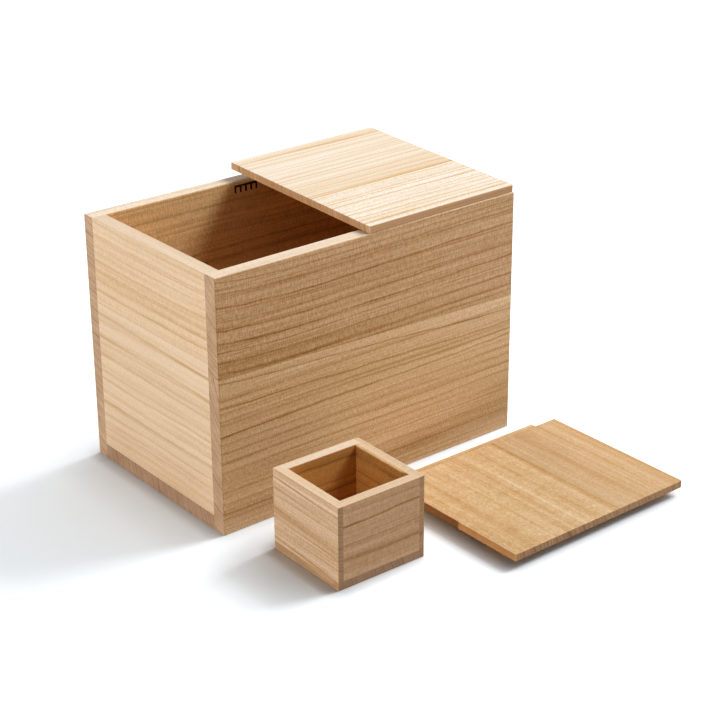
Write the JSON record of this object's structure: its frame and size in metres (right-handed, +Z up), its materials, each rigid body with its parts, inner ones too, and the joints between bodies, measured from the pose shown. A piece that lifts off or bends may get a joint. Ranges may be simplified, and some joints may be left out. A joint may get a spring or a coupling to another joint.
{
  "type": "rice storage box",
  "caption": "Paulownia rice box of butt-jointed plank walls with a lapped lid in halves, one seated and one lifted off, and a square rabbeted rice measure.",
  "frame": {"origin": "centre of the box's underside, on the surface that it stands on", "axes": "+X along the box's length, to the right seen from its front; front towards -Y; +Z up"},
  "size_m": [0.301, 0.339, 0.2124],
  "materials": {
    "wall_wood": "bare planed paulownia, mid tan, lengthwise grain",
    "end_wall_wood": "bare planed paulownia, pale peach, level grain",
    "lid_wood": "bare planed paulownia, pale cream with fine straw lines",
    "loose_lid_wood": "bare planed paulownia, golden, rippled figure",
    "measure_wood": "bare planed paulownia, grey-tan"
  },
  "bodies": {
    "box": {"front_upper_plank": "wall_wood", "front_lower_plank": "wall_wood", "back_upper_plank": "wall_wood", "back_lower_plank": "wall_wood", "left_end_upper_plank": "end_wall_wood", "left_end_lower_plank": "end_wall_wood", "right_end_upper_plank": "end_wall_wood", "right_end_lower_plank": "end_wall_wood", "bottom_front_plank": "wall_wood", "bottom_back_plank": "wall_wood"},
    "seated_lid": {"lid_front_plank": "lid_wood", "lid_back_plank": "lid_wood", "lid_batten": "lid_wood"},
    "loose_lid": {"loose_lid_front_plank": "loose_lid_wood", "loose_lid_back_plank": "loose_lid_wood", "loose_lid_tongue": "loose_lid_wood", "loose_lid_batten": "loose_lid_wood"},
    "measure": {"measure_front_wall": "measure_wood", "measure_back_wall": "measure_wood", "measure_left_wall": "measure_wood", "measure_right_wall": "measure_wood", "measure_bottom": "measure_wood"}
  },
  "joints": [
    {"name": "lid_lift", "type": "slide", "parent": "box", "child": "seated_lid", "axis": [0, 0, 1], "range_m": [0, 0.1]},
    {"name": "loose_lid_lift", "type": "slide", "parent": "box", "child": "loose_lid", "axis": [0, 0, 1], "range_m": [0, 0.22]},
    {"name": "measure_lift", "type": "slide", "parent": "box", "child": "measure", "axis": [0, 0, 1], "range_m": [0, 0.22]}
  ]
}
